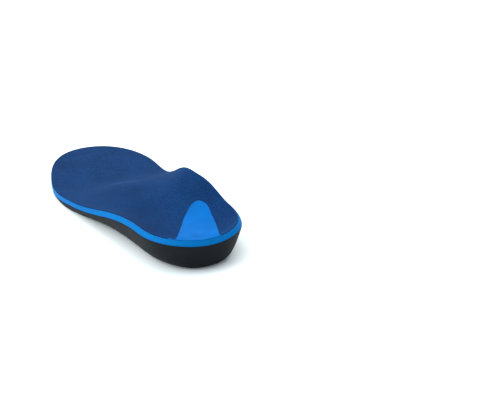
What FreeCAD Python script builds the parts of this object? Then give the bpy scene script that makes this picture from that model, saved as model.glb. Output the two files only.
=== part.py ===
# Cushioned insole for the left foot: a contoured foot bed of glued layers, with a deep heel cup and a
# high inner arch. The right foot's insole is its mirror image.
#
# Millimetres. +Y points to the toes, +X to the inner (big toe) side of the foot, +Z up. The origin is
# the middle of the insole's length and width, on the surface that it rests on.
#
# All layers follow one master sheet, the underside of the cushion. It is a height over the plan, set out
# by the stations below. Every other layer lies at a constant distance from it, measured square to it,
# and the outer edge of the soft layers is cut square to it too.
import FreeCAD, Part
import math
import os
from FreeCAD import Vector

# ---------------------------------------------------------------- overall sizes
length = 271.0               # heel to toe
heel_width = 81.6            # across the heel cup's rim
heel_shift = 1.9             # how far the heel's middle lies towards the inner side
heel_depth = 47.0            # from the back of the heel to the widest place of the cup
heel_squareness = 2.2        # 2 is an oval heel, more is a squarer one
waist_width = 86.8           # across the rim at the top of the arch
ball_width = 101.4           # across the rim at the ball of the foot, its widest place

# ---------------------------------------------------------------- layers
cover_thickness = 0.7        # brushed knit on top
cushion_thickness = 4.3      # blue foam, its edge shows all round
shell_thickness = 1.3        # springy plastic plate under the cushion
rim_edge = 0.8               # upright edge of the base under the cushion's edge
heel_floor = 5.5             # cushion's underside above the ground, under the heel
toe_floor = 1.0              # the same under the toes, where only the base is below
piece_gap = 0.15             # clearance round each piece that sits in a pocket

# ---------------------------------------------------------------- shell, pads and inlay
shell_inset = 6.5            # shell's edge inside the rim, in plan
shell_front = 0.50           # where the shell ends, as a share of the length from the heel
shell_nose = 14.0            # how far its rounded front end reaches past that

heel_pad_size = (20.0, 30.0)     # half width and half length of the oval heel pad
heel_pad_centre = (0.19, 0.0)    # share of the length from the heel, shift to the inner side
heel_pad_thickness = 2.8
heel_pad_recess = 0.5            # its underside above the ground

ball_pad_size = (34.0, 21.0, 25.0)   # half width, reach to the heel, reach to the toes
ball_pad_centre = (0.70, 0.0)        # share of the length, shift to the inner side
ball_pad_thickness = 2.0

dome_size = (25.0, 30.0, 17.0)       # the dome behind the ball: half width, reach back, reach forward
dome_centre = (0.545, -4.0)          # share of the length, shift to the inner side
dome_height = 2.6                    # how far it lifts the cushion
dome_edge = 0.8                      # its thickness at its edge
dome_show = 0.9                      # share of its height that shows through the cushion

# The heel inlay is a rounded tongue that lies across the heel cup towards the arch: x, and distance from
# the back of the heel. Its first and last points lie outside the rim, which cuts its wide end.
inlay_sides = [
    (-40.0, 7.0),
    (-25.0, 17.8),
    (-10.3, 37.0),
    (4.0, 56.0),
    (14.5, 68.0),
    (24.2, 72.0),
    (28.6, 65.0),
    (26.8, 48.3),
    (22.0, 31.5),
    (15.2, 15.8),
    (5.2, -4.2),
]

# ---------------------------------------------------------------- stations
# The rim where the cushion meets the base, set out along the foot: the distance from the heel as a share
# of the length, the width there, and how far the middle lies towards the inner side.
stations = [
    (0.172,  heel_width, heel_shift),    # widest place of the heel cup
    (0.248, heel_width + 1.8, 0.7),      # front of the heel cup
    (0.324, waist_width - 1.8, -1.2),    # under the back of the arch
    (0.394, waist_width, -3.0),          # top of the arch
    (0.470, waist_width + 5.8, -2.8),    # front of the arch
    (0.546, ball_width - 3.4, -2.3),     # behind the ball
    (0.606, ball_width - 0.8, -2.2),
    (0.667, ball_width, -1.2),           # ball of the foot
    (0.775, ball_width - 4.9, 3.2),      # roots of the toes
]
# The toe end, past the last station: share of the length, width and middle.
toe_stations = [
    (0.842, ball_width - 13.4, 5.4),
    (0.903, ball_width - 26.9, 6.8),
    (0.946,   59.0,   7.4),
    (0.978,   40.0,   7.7),
]
toe_tip_middle = 7.8
# How high the rim stands above the ground along the foot: share of the length, outer and inner side.
rim_heights = [
    (0.000,  20.1,  20.1),
    (0.070,  20.4,  19.0),
    (0.172,  21.6,  21.8),
    (0.248,  20.4,  27.2),
    (0.324,  16.8,  31.6),
    (0.394,  12.2,  31.2),
    (0.470,   8.2,  22.6),
    (0.546,   5.4,  11.6),
    (0.606,   3.6,   4.4),
    (0.667,   2.0,   1.5),
    (0.775,   1.2,   1.2),
]

# The middle of the sheet along the foot: share of the length, height above heel_floor or toe_floor.
middle_rise = [
    (0.10, 0.0),
    (0.25, 0.6),
    (0.35, 3.0),
    (0.43, 4.6),
    (0.50, 4.4),
    (0.57, 2.6),
    (0.63, 0.9),
    (0.69, 0.0),
]
# How sharply the sheet turns up to its rim: 2 is an even dish, more is a flat floor with a steep wall.
# Share of the length, on the outer side, on the inner side.
wall_turn = [
    (0.06, 2.9, 2.6),
    (0.18, 2.6, 1.9),
    (0.32, 2.2, 1.8),
    (0.45, 2.1, 1.9),
    (0.60, 2.0, 2.0),
]

# The base's wall goes down from the rim to a smaller contact face. Share of the length from the heel,
# how far the contact face lies inside the rim, and how full the wall is (0 straight, 1 a round bowl).
wall_outer = [
    (0.00,   6.5, 1.0),
    (0.04,  10.5, 0.9),
    (0.16,  13.5, 0.9),
    (0.30,  14.5, 0.7),
    (0.40,  12.5, 0.5),
    (0.48,   6.0, 0.5),
    (0.55,   1.6, 0.5),
    (0.66,   0.8, 0.5),
    (1.00,   0.8, 0.5),
]
wall_inner = [
    (0.00,   6.5, 1.0),
    (0.04,  12.0, 0.8),
    (0.10,  18.5, 0.5),
    (0.25,  19.5, 0.6),
    (0.34,  27.0, 0.55),
    (0.41,  31.5, 0.45),
    (0.47,  28.0, 0.45),
    (0.54,  16.0, 0.5),
    (0.61,   4.0, 0.5),
    (0.66,   0.8, 0.5),
    (1.00,   0.8, 0.5),
]

# ---------------------------------------------------------------- working values
reach = 160.0                # tool bodies are this tall
grid_step = 5.0              # spacing of the points that a sheet is drawn through
grid_margin = 12.0           # a sheet's grid goes this far past the rim
rim_points = 72              # points that the rim's curves are drawn through
heel_y = -length / 2.0


def blend(table, share, column=1):
    """Value of a table's column at a share of the length, on a smooth curve through its rows."""
    rows = [(row[0], row[column]) for row in table]
    if share <= rows[0][0]:
        return rows[0][1]
    if share >= rows[-1][0]:
        return rows[-1][1]
    i = max(k for k in range(len(rows) - 1) if rows[k][0] <= share)
    (s0, v0), (s1, v1) = rows[i], rows[i + 1]
    step = s1 - s0
    slope0 = tangent(rows, i) * step
    slope1 = tangent(rows, i + 1) * step
    t = (share - s0) / step
    return (v0 * (1 + 2 * t) * (1 - t) ** 2 + v1 * (3 - 2 * t) * t ** 2
            + slope0 * t * (1 - t) ** 2 - slope1 * (1 - t) * t ** 2)


def tangent(rows, i):
    """Slope of the smooth curve at row i, from its two neighbours. It is level at the ends and the peaks."""
    if i == 0 or i == len(rows) - 1:
        return 0.0
    (s0, v0), (s1, v1), (s2, v2) = rows[i - 1:i + 2]
    before = (v1 - v0) / (s1 - s0)
    after = (v2 - v1) / (s2 - s1)
    if before * after <= 0.0:
        return 0.0
    return (before * (s2 - s1) + after * (s1 - s0)) / (s2 - s0)


def share_of(y):
    return (y - heel_y) / length


def y_at(share):
    return heel_y + share * length


# ---------------------------------------------------------------- the master sheet
heel_centre_y = heel_y + heel_depth


def floor_height(y):
    """Height of the sheet's middle line."""
    share = share_of(y)
    drop = blend([(0.45, 0.0), (0.69, 1.0)], share)
    return heel_floor + (toe_floor - heel_floor) * drop + blend(middle_rise, share)


def sheet_height(x, y):
    """Height of the cushion's underside over a point of the plan."""
    share = share_of(y)
    wide_share = max(share, share_of(heel_centre_y))
    across = (x - blend(stations, wide_share, 2)) / (blend(stations, wide_share, 1) / 2.0)
    back = max(0.0, heel_centre_y - y) / heel_depth
    out = math.hypot(across, back)
    inner = (1.0 + across / out) / 2.0 if out > 0.0 else 0.5
    rim = (1.0 - inner) * blend(rim_heights, share, 1) + inner * blend(rim_heights, share, 2)
    power = (1.0 - inner) * blend(wall_turn, share, 1) + inner * blend(wall_turn, share, 2)
    floor = floor_height(y)
    edge = min(out, 1.0)
    past = max(0.0, out - 1.0) * power
    return floor + (rim - floor) * (edge ** power + past)


def sheet_normal(x, y):
    """Unit vector square to the sheet, pointing up."""
    d = 0.5
    slope_x = (sheet_height(x + d, y) - sheet_height(x - d, y)) / (2 * d)
    slope_y = (sheet_height(x, y + d) - sheet_height(x, y - d)) / (2 * d)
    return Vector(-slope_x, -slope_y, 1.0).normalize()


def on_sheet(x, y, lift):
    return Vector(x, y, sheet_height(x, y)) + sheet_normal(x, y) * lift


def dome_rise(x, y):
    """How far the dome behind the ball lifts the cushion: a smooth bump that ends at its outline."""
    centre_y = y_at(dome_centre[0])
    reach_y = dome_size[2] if y > centre_y else dome_size[1]
    r = math.hypot((x - dome_centre[1]) / dome_size[0], (y - centre_y) / reach_y)
    return dome_height * max(0.0, 1.0 - r * r) ** 2


def above(thickness, dome=0.0):
    """Everything above the sheet that lies at this distance from the master sheet, as a tool body."""
    half = ball_width / 2.0 + grid_margin
    far = length / 2.0 + grid_margin
    columns = int(2 * half / grid_step) + 1
    rows = int(2 * far / grid_step) + 1
    grid = []
    for i in range(columns + 1):
        x = -half + 2 * half * i / columns
        line = []
        for j in range(rows + 1):
            y = -far + 2 * far * j / rows
            line.append(on_sheet(x, y, thickness + dome * dome_rise(x, y)))
        grid.append(line)
    surface = Part.BSplineSurface()
    surface.interpolate(grid)
    return surface.toShape().extrude(Vector(0, 0, reach))


# ---------------------------------------------------------------- outlines
def closed_curve(points):
    curve = Part.BSplineCurve()
    curve.interpolate(Points=points, PeriodicFlag=True)
    return curve


def heel_round(half_width, depth):
    """Points round the back of the heel, from its inner to its outer side."""
    points = []
    for degrees in range(0, 181, 30):
        angle = math.radians(degrees)
        along = abs(math.cos(angle)) ** (2.0 / heel_squareness)
        back = math.sin(angle) ** (2.0 / heel_squareness) if degrees % 180 else 0.0
        x = heel_shift + math.copysign(half_width * along, 90 - degrees)
        points.append(Vector(x, heel_centre_y - depth * back, 0))
    return points


def rim_plan():
    """The rim in plan: a round heel, the stations' two sides and the toe end, as one closed curve."""
    outer, inner = [], []
    for row in stations[1:] + toe_stations:
        y = y_at(row[0])
        outer.append(Vector(row[2] - row[1] / 2.0, y, 0))
        inner.append(Vector(row[2] + row[1] / 2.0, y, 0))
    heel = heel_round(heel_width / 2.0, heel_depth)
    tip = [Vector(toe_tip_middle, heel_y + length, 0)]
    return closed_curve(heel + outer + tip + list(reversed(inner)))


def egg(centre, half_width, back, front, grow=0.0):
    """Outline of an oval pad in plan, with its own reach to the heel and to the toes."""
    points = []
    for degrees in range(0, 360, 30):
        angle = math.radians(degrees)
        reach_y = front if math.sin(angle) > 0 else back
        x = centre[0] + (half_width + grow) * math.cos(angle)
        points.append(Vector(x, centre[1] + (reach_y + grow) * math.sin(angle), 0))
    return closed_curve(points)


def prism(curve, bottom, top):
    """Upright tool body over a closed outline."""
    face = Part.Face(Part.Wire(curve.toShape()))
    face.translate(Vector(0, 0, bottom))
    return face.extrude(Vector(0, 0, top - bottom))


def ring(points):
    """Closed curve through one ring of points, with even parameters so that rings match each other."""
    curve = Part.BSplineCurve()
    even = [float(k) for k in range(len(points) + 1)]
    curve.interpolate(Points=points, PeriodicFlag=True, Parameters=even)
    return curve


def band(rings):
    """Face between matching rings: straight between two, a parabola over three (the middle one pulls)."""
    first_ring = rings[0]
    poles = [list(row) for row in zip(*[each.getPoles() for each in rings])]
    degree = len(rings) - 1
    surface = Part.BSplineSurface()
    surface.buildFromPolesMultsKnots(poles, first_ring.getMultiplicities(), [degree + 1, degree + 1],
                                     first_ring.getKnots(), [0.0, 1.0], True, False,
                                     first_ring.Degree, degree)
    return surface.toShape()


def closed_body(bands, bottom, top):
    """Solid from bands stacked between two level rings."""
    caps = [Part.Face(Part.Wire(each.toShape())) for each in (bottom, top)]
    shell = Part.makeShell(bands + caps)
    shell.sewShape()
    body = Part.makeSolid(shell)
    if body.Volume < 0:
        body.reverse()
    return body


rim_curve = rim_plan()
rim_spots = []
first, last = rim_curve.FirstParameter, rim_curve.LastParameter
for i in range(rim_points):
    parameter = first + (last - first) * i / rim_points
    spot = rim_curve.value(parameter)
    along = rim_curve.tangent(parameter)[0]
    # the curve runs clockwise seen from above, so its left side is outside
    rim_spots.append((spot, Vector(-along.y, along.x, 0)))
if rim_spots[0][1].x < 0:
    rim_spots = [(spot, out * -1) for spot, out in rim_spots]


def column():
    """The body of the soft layers: its side stands square to the sheet along the rim."""
    low = [on_sheet(spot.x, spot.y, -cushion_thickness) for spot, _ in rim_spots]
    high = [on_sheet(spot.x, spot.y, 2.0 * cushion_thickness) for spot, _ in rim_spots]
    bottom = [Vector(p.x, p.y, -reach / 4) for p in low]
    top = [Vector(p.x, p.y, reach / 2) for p in high]
    rings = [ring(points) for points in (bottom, low, high, top)]
    bands = [band(rings[k:k + 2]) for k in range(3)]
    return closed_body(bands, rings[0], rings[-1])


def bowl():
    """The base before its top is cut: a contact face, a curved wall and an upright edge."""
    feet, pulls, edges, tops = [], [], [], []
    for spot, out in rim_spots:
        share = share_of(spot.y)
        table = wall_outer if spot.x < blend(stations, share, 2) else wall_inner
        tuck = blend(table, share, 1)
        full = blend(table, share, 2)
        height = sheet_height(spot.x, spot.y) - rim_edge
        foot = spot - out * tuck
        # the wall is a parabola: this point pulls it out and down, the more the fuller it is
        pull = foot + out * tuck * (0.5 + 0.35 * full) + Vector(0, 0, height * (0.5 - 0.45 * full))
        feet.append(foot)
        pulls.append(pull)
        edges.append(Vector(spot.x, spot.y, height))
        tops.append(Vector(spot.x, spot.y, reach / 2))
    foot_ring, pull_ring, edge_ring, top_ring = [ring(points) for points in (feet, pulls, edges, tops)]
    wall = band([foot_ring, pull_ring, edge_ring])
    return closed_body([wall, band([edge_ring, top_ring])], foot_ring, top_ring)


def shell_outline(grow=0.0):
    """Plan of the springy shell: the rim drawn in by its inset, with a rounded front end."""
    inset = shell_inset - grow
    points = heel_round(heel_width / 2.0 - inset, heel_depth - inset)
    sides = [row for row in stations[1:] if row[0] < shell_front - 0.02]
    for row in sides:
        points.append(Vector(row[2] - row[1] / 2.0 + inset, y_at(row[0]), 0))
    front_y = y_at(shell_front)
    half = blend(stations, shell_front, 1) / 2.0 - inset
    middle = blend(stations, shell_front, 2)
    for degrees in range(150, 29, -30):
        angle = math.radians(degrees)
        y = front_y + (shell_nose + grow) * math.sin(angle)
        points.append(Vector(middle + half * math.cos(angle), y, 0))
    for row in reversed(sides):
        points.append(Vector(row[2] + row[1] / 2.0 - inset, y_at(row[0]), 0))
    return closed_curve(points)


def inlay_outline(shrink=0.0):
    """Plan of the heel inlay, drawn in all along its sides by a clearance."""
    sides = Part.BSplineCurve()
    sides.interpolate([Vector(x, heel_y + away, 0) for x, away in inlay_sides])
    if shrink:
        points = []
        for x, away in inlay_sides:
            spot = Vector(x, heel_y + away, 0)
            along = sides.tangent(sides.parameter(spot))[0]
            points.append(spot + Vector(along.y, -along.x, 0) * shrink)
        sides.interpolate(points)
    back = Part.LineSegment(sides.EndPoint, sides.StartPoint)
    return Part.Wire([sides.toShape(), back.toShape()])


# ---------------------------------------------------------------- the pieces
over_sheet = above(0.0)
over_cushion = above(cushion_thickness, dome_show)
over_cover = above(cushion_thickness + cover_thickness, dome_show)
over_shell_floor = above(-shell_thickness)
over_ball_pad = above(ball_pad_thickness)
over_dome = above(dome_edge, 1.0)
soft_column = column()
base_bowl = bowl()

ball_spot = (ball_pad_centre[1], y_at(ball_pad_centre[0]))
dome_spot = (dome_centre[1], y_at(dome_centre[0]))
heel_spot = (heel_pad_centre[1], y_at(heel_pad_centre[0]))

soft_stack = soft_column.common(over_sheet)
cover_blank = soft_stack.common(over_cushion).cut(over_cover)
cushion_blank = soft_stack.cut(over_cushion)


def pad_body(curve, bottom, top):
    return prism(curve, -1.0, reach / 3).common(bottom).cut(top)


window = Part.Face(inlay_outline()).extrude(Vector(0, 0, reach / 2))
inlay_tool = Part.Face(inlay_outline(piece_gap)).extrude(Vector(0, 0, reach / 2))
pieces = {}
pieces["top_cover"] = cover_blank.cut(window)
pieces["heel_inlay"] = cover_blank.common(inlay_tool)
ball_pocket = pad_body(egg(ball_spot, *ball_pad_size, grow=piece_gap), over_sheet, over_ball_pad)
dome_pocket = pad_body(egg(dome_spot, *dome_size, grow=piece_gap), over_sheet, over_dome)
pieces["cushion_layer"] = cushion_blank.cut(ball_pocket).cut(dome_pocket)
pieces["forefoot_pad"] = pad_body(egg(ball_spot, *ball_pad_size), over_sheet, over_ball_pad)
pieces["metatarsal_pad"] = pad_body(egg(dome_spot, *dome_size), over_sheet, over_dome)
pieces["arch_shell"] = pad_body(shell_outline(), over_shell_floor, over_sheet)
shell_pocket = pad_body(shell_outline(piece_gap), over_shell_floor, over_sheet)
pad_top = heel_pad_recess + heel_pad_thickness
heel_egg = (heel_pad_size[0], heel_pad_size[1], heel_pad_size[1])
pieces["heel_pad"] = prism(egg(heel_spot, *heel_egg), heel_pad_recess, pad_top)
heel_pocket = prism(egg(heel_spot, *heel_egg, grow=piece_gap), -1.0, pad_top)
pieces["base"] = base_bowl.cut(over_sheet).cut(shell_pocket).cut(heel_pocket)

os.makedirs("parts", exist_ok=True)
for name, shape in pieces.items():
    box = shape.BoundBox
    print(name, "solids", len(shape.Solids), "valid", shape.isValid(), "volume", round(shape.Volume),
          "x %.1f %.1f  y %.1f %.1f  z %.1f %.1f" % (box.XMin, box.XMax, box.YMin, box.YMax,
                                                     box.ZMin, box.ZMax))
    shape.exportStep("parts/%s.step" % name)
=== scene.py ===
# %% [markdown]
# # A cushioned insole for the left foot
# An insole of this kind is a stack of glued layers: a black moulded base, a stiff arch plate, soft pads,
# a bright blue foam cushion whose cut edge shows all round, and a navy knit cover with a blue film inlay
# in the heel. The exact sizes were drawn in CAD. Here each soft layer is modelled again over its CAD
# form, so that edges are rounded as foam is, and every surface gets its own finish.
# The first cell loads the CAD model as a fixed frame, in metres. Its box is kept, to place the floor and the
# trim lines by it.

# %% Load the frame
import math
import bmesh
import bpy
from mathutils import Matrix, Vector
from mathutils.bvhtree import BVHTree


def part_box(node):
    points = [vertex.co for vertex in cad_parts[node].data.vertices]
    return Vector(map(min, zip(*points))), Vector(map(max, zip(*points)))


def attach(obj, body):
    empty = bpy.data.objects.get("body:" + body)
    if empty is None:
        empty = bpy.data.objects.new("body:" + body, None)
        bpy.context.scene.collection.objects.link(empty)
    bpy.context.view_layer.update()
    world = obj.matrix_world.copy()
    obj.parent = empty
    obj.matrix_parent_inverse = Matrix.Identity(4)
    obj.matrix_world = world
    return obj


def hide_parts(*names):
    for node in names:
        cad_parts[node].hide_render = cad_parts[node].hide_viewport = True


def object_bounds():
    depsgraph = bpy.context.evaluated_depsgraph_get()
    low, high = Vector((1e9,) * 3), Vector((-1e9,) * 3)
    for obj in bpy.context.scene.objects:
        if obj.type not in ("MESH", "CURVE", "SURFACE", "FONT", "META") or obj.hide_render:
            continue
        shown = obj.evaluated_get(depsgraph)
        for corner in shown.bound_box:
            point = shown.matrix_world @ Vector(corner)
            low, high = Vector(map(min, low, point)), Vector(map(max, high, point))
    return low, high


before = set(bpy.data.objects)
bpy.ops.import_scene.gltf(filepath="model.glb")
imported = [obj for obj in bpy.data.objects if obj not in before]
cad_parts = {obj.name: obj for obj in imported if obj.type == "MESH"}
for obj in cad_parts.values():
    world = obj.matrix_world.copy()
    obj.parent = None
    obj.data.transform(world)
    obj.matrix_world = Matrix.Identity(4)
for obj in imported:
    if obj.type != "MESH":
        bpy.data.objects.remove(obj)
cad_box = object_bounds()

MM = 0.001
WELD = 0.005         # points closer than this are merged, mm
CREASE = 50          # an edge that turns by more than this is a sharp one, degrees
print("pieces in the frame:", sorted(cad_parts))
print("whole size in mm:", [round(side / MM, 1) for side in cad_box[1] - cad_box[0]])

# %% [markdown]
# ## Helpers for modelling
# An operator acts on whatever is selected, so every step starts by selecting one object and nothing else.
# A modifier could be left live, but then a later cut or join would not see its shape. So each one is added
# with its settings and applied at once.

# %% Select, edit, apply
def only(piece):
    """Makes this the one selected and active object."""
    bpy.ops.object.select_all(action="DESELECT")
    piece.select_set(True)
    bpy.context.view_layer.objects.active = piece


def edit(on):
    """Enters edit mode, or leaves it."""
    bpy.ops.object.mode_set(mode="EDIT" if on else "OBJECT")


def apply(piece, kind, **settings):
    """Adds a modifier with these settings and applies it."""
    only(piece)
    modifier = piece.modifiers.new(kind.title(), kind)
    for name, value in settings.items():
        setattr(modifier, name, value)
    bpy.ops.object.modifier_apply(modifier=modifier.name)


def rename(piece, name):
    piece.name = piece.data.name = name


def remove(*helpers):
    """Takes helper objects out of the file."""
    for helper in helpers:
        bpy.data.objects.remove(helper, do_unlink=True)


def finish_shading(piece, angle=40):
    """Smooth shading that keeps edges sharper than this angle, in degrees."""
    only(piece)
    bpy.ops.object.shade_smooth_by_angle(angle=math.radians(angle))
    print(piece.name, "has", len(piece.data.polygons), "faces")


# %% [markdown]
# A CAD node's mesh is loose triangles. A merged copy of it is the form that a layer is modelled over.
# A Shrinkwrap modifier could lay a new mesh on such a form, but the nearest place on it can lie sideways.
# A ray tree of the form gives the first hit of a line instead, so that each point moves only along that line.

# %% Forms to model over
def form_of(*nodes):
    """A merged copy of these CAD nodes as one object."""
    copies = []
    for node in nodes:
        copy = bpy.data.objects.new("form_" + node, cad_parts[node].data.copy())
        bpy.context.collection.objects.link(copy)
        copies.append(copy)
    only(copies[0])
    for copy in copies:
        copy.select_set(True)
    if len(copies) > 1:
        bpy.ops.object.join()
    edit(True)
    bpy.ops.mesh.select_all(action="SELECT")
    bpy.ops.mesh.remove_doubles(threshold=WELD * MM)
    edit(False)
    return copies[0]


def slopes_down(face):
    """True on the base's outer wall, which leans out over the floor, and not on its flat contact face."""
    return -0.9999 < face.normal.z < -0.03


def tree_of(form, wanted=lambda face: True):
    """A ray tree of the form's surface, or only of the faces that are wanted."""
    mesh = form.data
    faces = [face.vertices for face in mesh.polygons if wanted(face)]
    return BVHTree.FromPolygons([v.co for v in mesh.vertices], faces)


cushion_form = form_of("cushion_layer")
base_form = form_of("base")
cushion_skin = tree_of(cushion_form)
wall_skin = tree_of(base_form, slopes_down)
underlay_form = form_of("cushion_layer", "forefoot_pad", "metatarsal_pad")
underlay_skin = tree_of(underlay_form)
print("cushion form:", len(cushion_form.data.polygons), "triangles")

# %% [markdown]
# ## The rim
# All layers share one rim. It could be drawn again as a curve, but then it would drift from the CAD. So it
# is read from the cushion's form: the sharp edges round its top and its underside are selected, and walked
# into closed loops.

# %% Read closed loops of edges
def sides_of(loop):
    """Each point of a closed loop with the next one."""
    return zip(loop, loop[1:] + loop[:1])


def loop_length(loop):
    return sum((a - b).length for a, b in sides_of(loop))


def loops_of(form):
    """Closed loops of the selected edges, longest first, each as a list of points."""
    mesh = form.data
    links = {}
    for edge in mesh.edges:
        if edge.select:
            a, b = edge.vertices
            links.setdefault(a, []).append(b)
            links.setdefault(b, []).append(a)
    loops = []
    while links:
        spot = next(iter(links))
        loop = []
        while spot in links:
            loop.append(mesh.vertices[spot].co.copy())
            ahead = [n for n in links.pop(spot) if n in links]
            spot = ahead[0] if ahead else None
        loops.append(loop)
    return sorted(loops, key=loop_length, reverse=True)


only(cushion_form)
edit(True)
bpy.ops.mesh.select_mode(type="EDGE")
bpy.ops.mesh.select_all(action="DESELECT")
bpy.ops.mesh.edges_select_sharp(sharpness=math.radians(CREASE))
edit(False)
rim_loops = loops_of(cushion_form)
print("sharp loops on the cushion, mm:", [round(loop_length(loop) / MM) for loop in rim_loops[:6]])

# %% [markdown]
# The base stands on a flat contact face, smaller than the rim. Its edge could be looked for as a sharp one
# too, but how sharp it is depends on the wall beside it. It is always the border of the faces that lie on
# the floor, so those faces are selected, and then their border.

# %% The contact face's edge
touch = 0.01 * MM
only(base_form)
edit(True)
bpy.ops.mesh.select_mode(type="FACE")
bpy.ops.mesh.select_all(action="DESELECT")
edit(False)
for face in base_form.data.polygons:
    face.select = all(base_form.data.vertices[v].co.z < touch for v in face.vertices)
edit(True)
bpy.ops.mesh.region_to_loop()
edit(False)
foot_loop = loops_of(base_form)[0]
print("edge of the contact face: %.0f mm" % (loop_length(foot_loop) / MM))

# %% [markdown]
# A CAD loop has its points where the facets needed them. Walls are easier to build between rings of evenly
# spaced points that start at the back of the heel. The upper edge is spaced out first, and every point of
# the lower edge is the nearest one to its partner above.

# %% Even rings of points
RIM = 144            # points round the rim, about 4.6 mm apart


def turned_left(loop):
    """The loop, running anticlockwise seen from above, from the back of the heel."""
    area = sum(a.x * b.y - b.x * a.y for a, b in sides_of(loop))
    loop = loop if area > 0 else loop[::-1]
    start = min(range(len(loop)), key=lambda i: loop[i].y)
    return loop[start:] + loop[:start]


def even_ring(loop, count):
    """Points at even distances along a closed loop."""
    loop = turned_left(loop)
    step = loop_length(loop) / count
    points, walked = [], 0.0
    for a, b in sides_of(loop):
        side = (b - a).length
        while len(points) < count and len(points) * step <= walked + side:
            points.append(a.lerp(b, (len(points) * step - walked) / side) if side else a.copy())
        walked += side
    return points


def softened(ring, rounds):
    """The ring with the small steps of its CAD facets evened out."""
    for _ in range(rounds):
        before, after = ring[-1:] + ring[:-1], ring[1:] + ring[:1]
        ring = [p * 0.5 + (a + b) * 0.25 for a, p, b in zip(before, ring, after)]
    return ring


def nearest_on(loop, point):
    """The point of a closed loop that is nearest to this one."""
    best = None
    for a, b in sides_of(loop):
        side = b - a
        t = max(0.0, min(1.0, (point - a).dot(side) / max(side.length_squared, 1e-18)))
        spot = a + side * t
        if best is None or (spot - point).length < (best - point).length:
            best = spot
    return best


top_loop, low_loop = sorted(rim_loops[:2], key=lambda loop: -sum(p.z for p in loop) / len(loop))
top_ring = softened(even_ring(top_loop, RIM), 1)
low_ring = softened([nearest_on(low_loop, p) for p in top_ring], 1)
edge_height = sum((upper - lower).length for upper, lower in zip(top_ring, low_ring)) / RIM
print("the cushion's edge is %.2f mm high" % (edge_height / MM))

# %% [markdown]
# Two directions are needed at each point of the rim: square to the soft layers (up), and level with them
# (inwards). They follow from the two edges of the cushion. A small step inwards makes a second ring beside
# the rim. Such a pair of close rings keeps an edge crisp when the mesh is subdivided later.

# %% Directions along the rim
rim_ways = []
for i in range(RIM):
    along = (top_ring[(i + 1) % RIM] - top_ring[i - 1]).normalized()
    up_way = (top_ring[i] - low_ring[i]).normalized()
    rim_ways.append((up_way, up_way.cross(along).normalized()))


def moved(ring, up=0.0, inward=0.0):
    """The ring moved square to the soft layers and towards the middle, in mm."""
    return [p + up_way * up * MM + in_way * inward * MM for p, (up_way, in_way) in zip(ring, rim_ways)]


print("inward at the back of the heel:", [round(c, 2) for c in rim_ways[0][1]])

# %% [markdown]
# A wall could be lofted between curves, but then its points would not match the rim's. So it starts as a
# circle primitive whose points are laid on the first ring, and each further ring is one extrusion. A number
# kept on every point, its station, says where it belongs on the next ring.

# %% Walls from rings
def start_ring(name, ring):
    """A new piece that is only its first ring."""
    bpy.ops.object.select_all(action="DESELECT")
    bpy.ops.mesh.primitive_circle_add(vertices=len(ring), fill_type="NOTHING")
    piece = bpy.context.object
    rename(piece, name)
    stations = piece.data.attributes.new("station", "INT", "POINT")
    for i, point in enumerate(ring):
        stations.data[i].value = i
        piece.data.vertices[i].co = point
    return piece


def next_ring(piece, ring):
    """Extrudes the selected ring and lays its new points."""
    edit(True)
    bpy.ops.mesh.extrude_edges_move()
    edit(False)
    stations = piece.data.attributes["station"].data
    for vertex in piece.data.vertices:
        if vertex.select:
            vertex.co = ring[stations[vertex.index].value]


def wall(name, rings):
    """A new piece whose wall runs through these rings."""
    piece = start_ring(name, rings[0])
    for ring in rings[1:]:
        next_ring(piece, ring)
    return piece


def select_ring(piece, ring):
    """Selects the points of one ring by their place, and the edges between them."""
    near = 0.001 * MM
    edit(True)
    bpy.ops.mesh.select_mode(type="VERT")
    bpy.ops.mesh.select_all(action="DESELECT")
    edit(False)
    stations = piece.data.attributes["station"].data
    for vertex in piece.data.vertices:
        station = stations[vertex.index].value
        vertex.select = (vertex.co - ring[station]).length < near
    edit(True)
    bpy.ops.mesh.select_mode(type="EDGE")
    edit(False)


# %% [markdown]
# A ring could be closed by one many-sided face, but such a face can't follow a curved surface. Grid Fill
# closes it with four-sided faces that end in the rim. Its rows start at a corner, so the corner is made the
# active point. The new points are then moved straight down, or up, onto the CAD form.

# %% Fill a ring with a grid
CORNER = RIM // 12   # the grid's corners lie this many points to each side of the heel and the toe
OVER, UNDER = 200.0, -100.0      # heights well above and well below the insole, mm


def dropped(point, skin, rising, lift):
    """The point moved straight onto the skin, which is met from below if rising, and off it by the lift."""
    start = Vector((point.x, point.y, (UNDER if rising else OVER) * MM))
    hit, normal, _, _ = skin.ray_cast(start, Vector((0, 0, 1 if rising else -1)))
    return hit + normal * lift * MM if hit else point


def fill(piece, ring, skin=None, rising=False, lift=0.0):
    """Fills the ring with a grid, and lays the grid on a skin if there is one. The lift is in mm."""
    select_ring(piece, ring)
    before = len(piece.data.vertices)
    edit(True)
    mesh = bmesh.from_edit_mesh(piece.data)
    mesh.verts.ensure_lookup_table()
    layer = mesh.verts.layers.int["station"]
    corner = next(v for v in mesh.verts if v.select and v[layer] == RIM - CORNER)
    mesh.select_history.clear()
    mesh.select_history.add(corner)
    bmesh.update_edit_mesh(piece.data)
    bpy.ops.mesh.fill_grid(span=2 * CORNER, offset=0)
    edit(False)
    if skin:
        for vertex in piece.data.vertices[before:]:
            vertex.co = dropped(vertex.co, skin, rising, lift)
    print(piece.name, "cage:", len(piece.data.vertices), "points")


# %% [markdown]
# ## The cushion
# The cushion is closed-cell foam, cut round with a knife that was held square to it. Foam gives a little
# under the blade and springs back, so the cut edge is slightly crowned, and its corners are soft. A bevel
# would round the corners but leave the edge flat, so the crown is drawn by rings down the edge.

# %% Model the cushion
CROWN = 0.22         # how far the middle of the cut edge stands out, mm
SOFT = 0.35          # size of its soft corners, mm
CLOSE = 1.0          # distance between the rim and the ring beside it, mm

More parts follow.
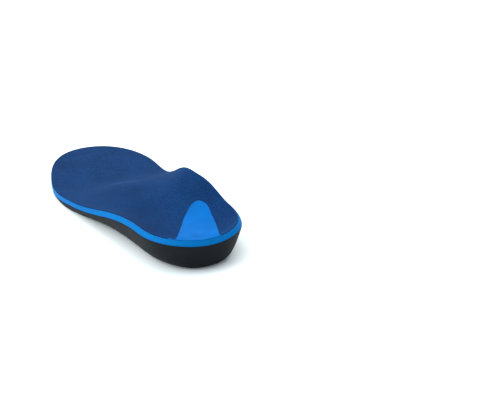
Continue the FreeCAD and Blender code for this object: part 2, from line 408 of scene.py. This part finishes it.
half_edge = edge_height / MM / 2
cushion_rings = [
    moved(top_ring, 0.0, CLOSE),
    top_ring,
    moved(top_ring, -SOFT, -CROWN / 2),
    moved(top_ring, -half_edge, -CROWN),
    moved(low_ring, SOFT, -CROWN / 2),
    low_ring,
    moved(low_ring, 0.0, CLOSE),
]
cushion = wall("cushion_foam", cushion_rings)
fill(cushion, cushion_rings[0], cushion_skin)
fill(cushion, cushion_rings[-1], underlay_skin, rising=True)

# %% [markdown]
# Subdivision rounds the cage into smooth foam. The two pads under the cushion sit in pockets in its
# underside. A pocket could be inset and pushed in, but the pads' outlines don't follow the grid. So it is
# cut with a tool: a copy of the pad's form, grown by the clearance and made deeper where it comes out of
# the foam, so that no two faces of the cut lie in one plane.

# %% Subdivide, and cut pockets
PLAY = 0.15          # clearance round a piece in its pocket, mm
REACH_OUT = 4.0      # how far a tool stands out of the pocket's mouth, mm


def subdivide(piece, levels=2):
    """Turns all faces outwards and rounds the cage."""
    only(piece)
    edit(True)
    bpy.ops.mesh.select_all(action="SELECT")
    bpy.ops.mesh.normals_make_consistent(inside=False)
    edit(False)
    apply(piece, "SUBSURF", levels=levels, render_levels=levels)


def pocket_tool(node, mouth):
    """A CAD piece's form, grown by the clearance, with its side at the mouth (up or down) moved out."""
    tool = form_of(node)
    open_faces = [face for face in tool.data.polygons if face.normal.z * mouth > 0.2]
    open_points = {v for face in open_faces for v in face.vertices}
    apply(tool, "DISPLACE", strength=PLAY * MM, mid_level=0.0)
    for v in open_points:
        tool.data.vertices[v].co.z += mouth * REACH_OUT * MM
    return tool


def cut(piece, tool, operation="DIFFERENCE"):
    """Cuts the tool's body out of the piece, or keeps only what lies in it, and removes the tool."""
    apply(piece, "BOOLEAN", operation=operation, solver="EXACT", object=tool)
    remove(tool)


subdivide(cushion)
for node in ("forefoot_pad", "metatarsal_pad"):
    cut(cushion, pocket_tool(node, mouth=-1))
finish_shading(cushion)

# %% [markdown]
# ## The cover and its heel inlay
# The cover is a thin brushed knit, glued down flat and cut off with the foam. The blue inlay is a film of
# the same thickness, let into a window in the knit. Solidify could thicken a single sheet, but the knit's
# cut edge has to follow the rim. So both are cut from one blank: a closed shell that lies on the cushion.

# %% Model the cover's blank
KNIT = 0.7           # thickness of the knit and of the film, mm

blank_rings = [
    moved(top_ring, KNIT, CLOSE),
    moved(top_ring, KNIT, 0.0),
    top_ring,
    moved(top_ring, 0.0, CLOSE),
]
cover = wall("cover_knit", blank_rings)
fill(cover, blank_rings[0], cushion_skin, lift=KNIT)
fill(cover, blank_rings[-1], cushion_skin)
subdivide(cover)


def flat_area(piece):
    """Half of a thin piece's surface, in square metres."""
    return sum(face.area for face in piece.data.polygons) / 2


print("the blank's flat area: %.4f square metres" % flat_area(cover))

# %% [markdown]
# The window was punched with a shaped die: a rounded tongue that runs out past the rim at the back of the
# heel. It is drawn as a smooth curve through a few points, and raised into an upright tool. The same tool
# takes the window out of the knit and, drawn in by the clearance, keeps the inlay from a copy of the blank.
# Both take their shading from the uncut blank, because the cut's thin triangles would show as creases.

# %% Draw smooth lines for tools
TOOL_LOW, TOOL_HEIGHT = -20.0, 80.0      # where an upright tool starts, and its height, mm


def curve_through(points, steps):
    """A smooth open curve through these points, with so many steps between two of them."""
    bpy.ops.object.select_all(action="DESELECT")
    bpy.ops.curve.primitive_bezier_curve_add(enter_editmode=False)
    curve = bpy.context.object
    curve.data.dimensions = "3D"
    spline = curve.data.splines[0]
    spline.bezier_points.add(len(points) - len(spline.bezier_points))
    spline.resolution_u = steps
    for knot, point in zip(spline.bezier_points, points):
        knot.co = point
        knot.handle_left_type = knot.handle_right_type = "AUTO"
    return curve


def shifted_left(line, distance):
    """An open line of points moved level to its left by so many mm."""
    shifted = []
    for i, point in enumerate(line):
        along = (line[min(i + 1, len(line) - 1)] - line[max(i - 1, 0)]).normalized()
        shifted.append(point + Vector((-along.y, along.x, 0)) * distance * MM)
    return shifted


# %% Cut the window and the inlay
# Across the foot, and forwards from the back of the heel, mm. The outline ends outside the rim.
TONGUE = [(-40.0, 7.0), (-25.0, 17.8), (-10.3, 37.0), (4.0, 56.0), (14.5, 68.0), (24.2, 72.0),
          (28.6, 65.0), (26.8, 48.3), (22.0, 31.5), (15.2, 15.8), (5.2, -4.2)]
heel_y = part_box("base")[0].y


def tongue_tool(shrink):
    """An upright tool over the inlay's outline, drawn in by so many mm."""
    curve_through([Vector((x * MM, heel_y + away * MM, TOOL_LOW * MM)) for x, away in TONGUE], 12)
    bpy.ops.object.convert(target="MESH")
    tool = bpy.context.object
    outline = shifted_left([vertex.co.copy() for vertex in tool.data.vertices], -shrink)
    for vertex, point in zip(tool.data.vertices, outline):
        vertex.co = point
    edit(True)
    bpy.ops.mesh.select_all(action="SELECT")
    bpy.ops.mesh.edge_face_add()
    bpy.ops.mesh.extrude_region_move(TRANSFORM_OT_translate={"value": (0, 0, TOOL_HEIGHT * MM)})
    bpy.ops.mesh.select_all(action="SELECT")
    bpy.ops.mesh.normals_make_consistent(inside=False)
    edit(False)
    return tool


def copy_of(piece, name):
    only(piece)
    bpy.ops.object.duplicate()
    copy = bpy.context.object
    rename(copy, name)
    return copy


def shade_like(piece, smooth_one):
    """Takes the shading normals of the uncut piece."""
    apply(piece, "DATA_TRANSFER", object=smooth_one, use_loop_data=True,
          data_types_loops={"CUSTOM_NORMAL"}, loop_mapping="POLYINTERP_NEAREST")


finish_shading(cover)
blank = copy_of(cover, "blank")
inlay = copy_of(cover, "inlay_film")
cut(cover, tongue_tool(0.0))
cut(inlay, tongue_tool(PLAY), "INTERSECT")
for piece in (cover, inlay):
    finish_shading(piece)
    shade_like(piece, blank)
remove(blank)

# %% [markdown]
# ## The base
# The base is EVA foam pressed in a mould. Its wall goes up from a flat contact face in a full curve at the
# heel and a hollow one under the arch, and ends in a short upright edge under the cushion. The rim and the
# contact face have different outlines, so their points are matched first: from each point of the rim a
# level line runs inwards to the contact face's edge.

# %% Match the contact face's edge to the rim
def inward_hit(point, inward, loop):
    """Where a level line from the point first meets the loop seen from above, or None."""
    best = None
    for a, b in sides_of(loop):
        side = b - a
        across = inward.x * side.y - inward.y * side.x
        if abs(across) < 1e-12:
            continue
        gap = a - point
        reach = (gap.x * side.y - gap.y * side.x) / across
        share = (gap.x * inward.y - gap.y * inward.x) / across
        # The line has to meet this side between its two ends.
        if reach > 0 and 0 <= share <= 1 and (best is None or reach < best):
            best = reach
    return None if best is None else Vector((point.x, point.y, 0)) + inward * best


def level_inward(ring, i):
    """The level direction towards the middle at one point of a ring."""
    along = ring[(i + 1) % RIM] - ring[i - 1]
    return Vector((-along.y, along.x, 0)).normalized()


foot_ring = []
for i, point in enumerate(low_ring):
    spot = inward_hit(point, level_inward(low_ring, i), foot_loop)
    foot_ring.append(spot if spot else nearest_on(foot_loop, Vector((point.x, point.y, 0))))
foot_ring = softened(foot_ring, 2)
tucks = [(Vector((a.x, a.y, 0)) - b).length for a, b in zip(low_ring, foot_ring)]
print("widest tuck of the wall: %.1f mm" % (max(tucks) / MM))

# %% [markdown]
# A subdivided cube could be pulled into such a wall, but only by hand. Here six rings are set at even steps
# down the straight line from the upright edge to the contact face. Each point then moves square to that
# line until it meets the wall of the CAD form. Rounds of softening even out the facets of that form.

# %% Model the base
RIM_EDGE = 0.8       # height of the upright edge, mm
WALL_STEPS = 7       # steps between the upright edge and the contact face
BULGE = 6.0          # the wall is looked for this far to each side of the straight line, mm
FOOT_EDGE = 1.2      # distance between the contact face's edge and the ring inside it, mm


def on_wall(edge, foot, share):
    """A point at this share of the straight line down the wall, moved square to the line onto the wall."""
    point = edge.lerp(foot, share)
    line = foot - edge
    level = Vector((line.x, line.y, 0))
    outward = (level.normalized() * line.z + Vector((0, 0, -level.length))).normalized()
    hits = [wall_skin.ray_cast(point, way, BULGE * MM) for way in (outward, -outward)]
    hits = [(hit[3], hit[0]) for hit in hits if hit[0]]
    return min(hits, key=lambda hit: hit[0])[1] if hits else point


edge_ring = [p - Vector((0, 0, RIM_EDGE * MM)) for p in low_ring]
base_rings = [moved(low_ring, 0.0, CLOSE), low_ring, edge_ring]
for k in range(1, WALL_STEPS):
    ring = [on_wall(edge, foot, k / WALL_STEPS) for edge, foot in zip(edge_ring, foot_ring)]
    base_rings.append(softened(ring, 3))
base_rings.append(foot_ring)
base_rings.append([p + level_inward(foot_ring, i) * FOOT_EDGE * MM for i, p in enumerate(foot_ring)])
base = wall("base_moulded", base_rings)
fill(base, base_rings[0], underlay_skin, rising=True)
fill(base, base_rings[-1])
subdivide(base)

# %% [markdown]
# The mould leaves its marks: a pocket for the arch plate on top, an oval recess for the heel pad below,
# and three fine lines under the toes, along which a wearer trims the insole to a smaller shoe. Bevelled
# edge loops could make the lines, but the grid doesn't run along the toe end. So each is cut with a round
# bar. Only the outer bar leaves a groove. The cut leaves the lower halves of the two inner bars standing,
# as ridges 0.39 mm high.

# %% Cut the pocket, the recess and the trim lines
cut(base, pocket_tool("arch_shell", mouth=1))
cut(base, pocket_tool("heel_pad", mouth=-1))

TRIM_LINES = (6.0, 11.0, 16.0)   # distances of the trim lines from the toe end of the contact face, mm
TRIM_WIDTH = 0.9     # thickness of the bar, mm
TOE_SHARE = 0.62     # the lines start at this share of the length
TOE_CENTRE = 30.0    # the toe end's points are put in order round this place on the middle line, mm


def trim_bar(inset):
    """A thin round bar that follows the toe end at this distance inside it."""
    toe_start = cad_box[0].y + TOE_SHARE * (cad_box[1].y - cad_box[0].y)
    front = [p for p in foot_ring if p.y > toe_start]
    front.sort(key=lambda p: math.atan2(p.y - TOE_CENTRE * MM, p.x))
    bar = curve_through([Vector((p.x, p.y, 0)) for p in shifted_left(front, inset)], 4)
    bar.data.bevel_depth = TRIM_WIDTH / 2 * MM
    bar.data.bevel_resolution = 1
    bar.data.use_fill_caps = True
    bpy.ops.object.convert(target="MESH")
    edit(True)
    bpy.ops.mesh.select_all(action="SELECT")
    bpy.ops.mesh.remove_doubles(threshold=WELD * MM)
    bpy.ops.mesh.normals_make_consistent(inside=False)
    edit(False)
    return bpy.context.object


for inset in TRIM_LINES:
    cut(base, trim_bar(inset))
finish_shading(base, 35)

# %% [markdown]
# ## The pads
# The two hidden pads are soft foam cut with rounded edges. A bevel would need clean edge loops, which the
# CAD forms don't have. So the forms are remeshed in small even cells and smoothed.

# %% Model the hidden pads
CELL = 0.7           # size of the remeshed cells, mm


def soft_pad(node, name):
    pad = form_of(node)
    rename(pad, name)
    apply(pad, "REMESH", mode="VOXEL", voxel_size=CELL * MM)
    apply(pad, "SMOOTH", factor=0.5, iterations=3)
    finish_shading(pad, 60)
    return pad


forefoot = soft_pad("forefoot_pad", "forefoot_pad_foam")
dome = soft_pad("metatarsal_pad", "metatarsal_pad_foam")

# %% [markdown]
# The heel pad shows from below: an oval of rubbery foam. It could be made over its CAD form like the soft
# pads, but a plain oval needs only a cylinder, stretched to the box of its CAD node, with softened edges.

# %% Model the heel pad
def soften_edges(piece, width, segments):
    """Bevels the sharp edges by so many mm."""
    apply(piece, "BEVEL", width=width * MM, segments=segments, limit_method="ANGLE",
          angle_limit=math.radians(CREASE))


pad_low, pad_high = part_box("heel_pad")
pad_middle = (pad_low + pad_high) / 2
pad_size = pad_high - pad_low
bpy.ops.object.select_all(action="DESELECT")
bpy.ops.mesh.primitive_cylinder_add(vertices=72, radius=0.5, depth=1.0)
heel_pad = bpy.context.object
rename(heel_pad, "heel_pad_rubber")
for vertex in heel_pad.data.vertices:
    vertex.co = pad_middle + Vector([vertex.co[k] * pad_size[k] for k in range(3)])
soften_edges(heel_pad, 0.5, 3)
print("heel pad in mm:", [round(size / MM, 1) for size in pad_size])

# %% [markdown]
# Low six-sided studs under the pad let it give. They could be inset from the pad's face, but a stud is
# easier to shape by itself. One is modelled and copied in rows that are set off by half a step, and each
# copy stands half its height in the pad.

# %% Give it its studs
STUD = 5.0           # across the flats of a stud, mm
WAY = 1.3            # channel between studs, mm
STUD_HEIGHT = 0.35   # how far a stud stands out of the pad, mm
MARGIN = 3.8         # how far inside the pad's edge a stud's middle stays, mm

bpy.ops.object.select_all(action="DESELECT")
bpy.ops.mesh.primitive_cylinder_add(vertices=6, radius=STUD * MM / math.sqrt(3), depth=2 * STUD_HEIGHT * MM)
stud = bpy.context.object
soften_edges(stud, 0.25, 2)
pitch = STUD + WAY
room = (pad_size.x / 2 - MARGIN * MM, pad_size.y / 2 - MARGIN * MM)
pad_parts = [heel_pad]
for row in range(-7, 8):
    for column in range(-4, 5):
        x = (column + 0.5 * (row % 2)) * pitch * MM
        y = row * pitch * math.sqrt(3) / 2 * MM
        if (x / room[0]) ** 2 + (y / room[1]) ** 2 < 1:
            each = bpy.data.objects.new("stud", stud.data.copy())
            bpy.context.collection.objects.link(each)
            each.location = (pad_middle.x + x, pad_middle.y + y, pad_low.z)
            pad_parts.append(each)
remove(stud)
print("studs:", len(pad_parts) - 1)
only(heel_pad)
for each in pad_parts:
    each.select_set(True)
bpy.ops.object.join()
finish_shading(heel_pad, 30)

# %% [markdown]
# ## Finishes
# Each finish starts from what the real surface is. Colours are written as sRGB hex values, and one
# function turns them into the linear values that the shader wants. One small function adds a node.
# Patterns read Object coordinates, so a size in millimetres is the same on every piece.

# %% Colour and node helpers
def colour(code):
    """A linear colour from an sRGB hex value."""
    channels = [int(code[i:i + 2], 16) / 255 for i in (0, 2, 4)]
    return tuple(c / 12.92 if c <= 0.04045 else ((c + 0.055) / 1.055) ** 2.4 for c in channels) + (1.0,)


def add(material, kind, inputs, **settings):
    """Adds a node. An input is a value, or the output of another node that feeds it."""
    node = material.node_tree.nodes.new("ShaderNode" + kind)
    for name, value in settings.items():
        setattr(node, name, value)
    for name, value in inputs.items():
        if isinstance(value, bpy.types.NodeSocket):
            material.node_tree.links.new(value, node.inputs[name])
        else:
            node.inputs[name].default_value = value
    return node


def new_material(name, **shader):
    """A material, its Principled shader and its Object coordinates."""
    material = bpy.data.materials.new(name)
    material.use_nodes = True
    surface = material.node_tree.nodes["Principled BSDF"]
    for label, value in shader.items():
        surface.inputs[label.replace("_", " ")].default_value = value
    place = add(material, "TexCoord", {}).outputs["Object"]
    return material, surface, place


def noise(material, place, grain, detail=2.0):
    """A cloudy pattern whose patches are this many mm across."""
    scale = 1 / (grain * MM)
    return add(material, "TexNoise", {"Vector": place, "Scale": scale, "Detail": detail}).outputs["Fac"]


def cells(material, place, size):
    """A pattern of round cells that are this many mm across."""
    return add(material, "TexVoronoi", {"Vector": place, "Scale": 1 / (size * MM)}).outputs["Distance"]


def two_tone(material, factor, dark, light, low=0.35, high=0.65):
    """Blends two colours by a pattern, over the part of its range where it varies."""
    ramp = add(material, "ValToRGB", {"Fac": factor})
    stops = ramp.color_ramp.elements
    stops[0].position, stops[0].color = low, colour(dark)
    stops[1].position, stops[1].color = high, colour(light)
    return ramp.outputs["Color"]


def join(material, output, socket):
    material.node_tree.links.new(output, socket)


def bump(material, surface, height, depth, strength=1.0):
    """Relief this many mm deep."""
    node = add(material, "Bump", {"Height": height, "Distance": depth * MM, "Strength": strength})
    join(material, node.outputs["Normal"], surface.inputs["Normal"])


def wear(piece, material):
    """Makes this the only material of the piece."""
    piece.data.materials.clear()
    piece.data.materials.append(material)
    for face in piece.data.polygons:
        face.material_index = 0
    print(piece.name, "wears", material.name)


# %% [markdown]
# The cover is a polyester jersey with a brushed face. Its short nap scatters light, so it has no gloss,
# but it pales a little where it is seen at a slant, which is what sheen does. The fibres are of slightly
# mixed blues, and the nap lies a little differently from place to place. An image could hold the weave,
# but noise needs no file. Real fibres are too fine to show, so their mottle is drawn at 0.8 mm.

# %% Brushed navy jersey
jersey, surface, place = new_material("brushed_polyester_jersey", Roughness=0.92, IOR=1.45,
                                      Sheen_Weight=0.03, Sheen_Roughness=0.45)
surface.inputs["Sheen Tint"].default_value = colour("7FA6D8")
surface.inputs["Specular IOR Level"].default_value = 0.08
mottle = noise(jersey, place, 0.8, 3.0)
fibres = two_tone(jersey, mottle, "04254D", "0D3867")
nap = two_tone(jersey, noise(jersey, place, 22.0, 3.0), "E2E6EA", "FFFFFF")
mixed = add(jersey, "Mix", {"Factor": 1.0, "A": fibres, "B": nap}, data_type="RGBA", blend_type="MULTIPLY")
join(jersey, mixed.outputs["Result"], surface.inputs["Base Color"])
bump(jersey, surface, mottle, 0.25, 0.6)
wear(cover, jersey)

# %% [markdown]
# The inlay is a polyurethane film on a thin knit backing. It is smooth, with a faint satin gloss, and the
# backing just shows through it as a very low relief.

# %% Satin film
film, surface, place = new_material("satin_polyurethane_film", Roughness=0.42, IOR=1.5,
                                    Specular_IOR_Level=0.02)
join(film, two_tone(film, noise(film, place, 14.0), "00589C", "0060AC"), surface.inputs["Base Color"])
bump(film, surface, noise(film, place, 1.1), 0.06, 0.4)
wear(inlay, film)

# %% [markdown]
# The cushion is closed-cell foam. Its cut edge shows thousands of opened bubbles, which give it a fine
# matte grain. Voronoi cells are like such bubbles in cut. Real ones are about 0.3 mm across, and they are
# drawn at 0.6 mm so that they show.

# %% Cut blue foam
blue_foam, surface, place = new_material("cut_closed_cell_foam", Roughness=0.62, IOR=1.45,
                                         Specular_IOR_Level=0.05)
bubbles = cells(blue_foam, place, 0.6)
join(blue_foam, two_tone(blue_foam, bubbles, "0068AE", "005E9E", 0.1, 0.7), surface.inputs["Base Color"])
bump(blue_foam, surface, bubbles, 0.10, 0.5)
wear(cushion, blue_foam)

# %% [markdown]
# The base is black EVA foam, pressed in a spark-eroded mould. The mould's fine pebble breaks up its gloss
# into a dull, broad shine. Its skin is a little uneven, so its roughness varies slowly from place to place.

# %% Moulded black EVA
eva, surface, place = new_material("moulded_eva_foam", IOR=1.48, Specular_IOR_Level=0.1)
pebble = noise(eva, place, 0.9, 2.0)
join(eva, two_tone(eva, noise(eva, place, 18.0, 4.0), "0B0F13", "11151A"), surface.inputs["Base Color"])
rough = add(eva, "MapRange", {"Value": noise(eva, place, 9.0), "To Min": 0.52, "To Max": 0.66})
join(eva, rough.outputs["Result"], surface.inputs["Roughness"])
bump(eva, surface, pebble, 0.12, 0.5)
wear(base, eva)

# %% [markdown]
# The hidden pads are pale open-cell foam, whose pores are big enough to see, so they get the bubbles' cells
# at a larger size.

# %% Open-cell foam
open_foam, surface, place = new_material("open_cell_foam", Roughness=0.95)
pores = cells(open_foam, place, 0.9)
join(open_foam, two_tone(open_foam, pores, "B9BCB6", "DEDFD9", 0.1, 0.6), surface.inputs["Base Color"])
bump(open_foam, surface, pores, 0.3, 0.7)
for pad in (forefoot, dome):
    wear(pad, open_foam)

# %% [markdown]
# The heel pad is cast from a blue rubbery gel foam, with a faint shine and a nearly smooth skin. The arch
# plate is frosted polypropylene, which lets a little light through. It needs no new mesh, because it is a
# plain moulded plate, so its CAD mesh is shown.

# %% Gel foam and frosted plate
gel, surface, place = new_material("cast_gel_foam", Roughness=0.38, IOR=1.45)
join(gel, two_tone(gel, noise(gel, place, 6.0), "0570D0", "0C84E6"), surface.inputs["Base Color"])
bump(gel, surface, noise(gel, place, 0.8), 0.05, 0.4)
wear(heel_pad, gel)

plate, surface, place = new_material("frosted_polypropylene", Roughness=0.4, IOR=1.49,
                                     Transmission_Weight=0.25)
join(plate, two_tone(plate, noise(plate, place, 12.0), "A3A8AC", "B4B9BD"), surface.inputs["Base Color"])
bump(plate, surface, noise(plate, place, 1.2), 0.05, 0.3)
wear(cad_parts["arch_shell"], plate)

# %% [markdown]
# ## What each piece stands for
# Every new piece rides on the one body, and the CAD node that it was modelled over is hidden. The cover
# dips at the heel and climbs at the arch, so laid flat it is about 12 % wider and 4 % longer than its box.

# %% Put each piece on the body and hide its CAD node
for piece, node, slot in (
    (cover, "top_cover", "cover_knit"),
    (inlay, "heel_inlay", "inlay_film"),
    (cushion, "cushion_layer", "cushion_foam"),
    (forefoot, "forefoot_pad", "pad_foam"),
    (dome, "metatarsal_pad", "pad_foam"),
    (heel_pad, "heel_pad", "heel_pad_rubber"),
    (base, "base", "base_eva"),
):
    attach(piece, "root")
    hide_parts(node)

remove(cushion_form, base_form, underlay_form)

# %% [markdown]
# ## The studio
# The insole lies on a plain pale floor. The floor is set a little lower than the contact face, because two
# faces in one plane would flicker, and so wide that its edge is far out of view. The two ridges under the
# toes reach 0.19 mm into it.

# %% Floor
FLOOR_GAP = 0.2      # how far the floor lies below the contact face, mm

bpy.ops.object.select_all(action="DESELECT")
bpy.ops.mesh.primitive_plane_add(size=12.0, location=(0, 0, cad_box[0].z - FLOOR_GAP * MM))
floor = bpy.context.object
rename(floor, "floor")
paper, surface, place = new_material("matt_white_paper", Roughness=0.7)
join(paper, two_tone(paper, noise(paper, place, 60.0), "F3FAFA", "F7FCFC"), surface.inputs["Base Color"])
wear(floor, paper)

# %% [markdown]
# A pale world gives soft light from all sides. Area lamps could add the rest, but their light would fall
# off along the insole, so two suns with very wide discs are used. One stands on the outer side of the foot,
# towards the toes, and lights the blue edge. The other is nearly overhead and lights the cover.

# %% Light
world = bpy.data.worlds.new("studio")
bpy.context.scene.world = world
world.use_nodes = True
world.node_tree.nodes["Background"].inputs["Color"].default_value = colour("EEF8FF")
world.node_tree.nodes["Background"].inputs["Strength"].default_value = 0.75


def sun(name, towards, softness, strength, tint):
    """A distant lamp that stands in this direction. Its softness is its apparent width in degrees."""
    data = bpy.data.lights.new(name, "SUN")
    data.angle, data.energy, data.color = math.radians(softness), strength, colour(tint)[:3]
    stand = bpy.data.objects.new(name, data)
    bpy.context.collection.objects.link(stand)
    stand.rotation_euler = (-Vector(towards)).to_track_quat("-Z", "Y").to_euler()


sun("key", (-0.80, 0.35, 0.50), 55, 2.6, "FFFFFF")
sun("top", (0.20, 0.45, 0.85), 80, 2.8, "FFFFFF")
print("lamps:", [lamp.name for lamp in bpy.data.lights])

# %% [markdown]
# The camera looks down from behind the heel, a little to the outer side, with a lens that is a bit longer
# than the eye's view. The Standard view keeps the colours as they were chosen.

# %% Camera
camera_data = bpy.data.cameras.new("camera")
camera_data.lens = 65.3
camera = bpy.data.objects.new("camera", camera_data)
bpy.context.collection.objects.link(camera)
camera.location = (-0.2623, -0.6162, 0.2935)
camera.rotation_euler = Vector((0.466, 0.787, -0.405)).to_track_quat("-Z", "Y").to_euler()
bpy.context.scene.camera = camera
bpy.context.scene.view_settings.view_transform = "Standard"
print("camera at:", [round(c, 3) for c in camera.location], "with a", camera_data.lens, "mm lens")
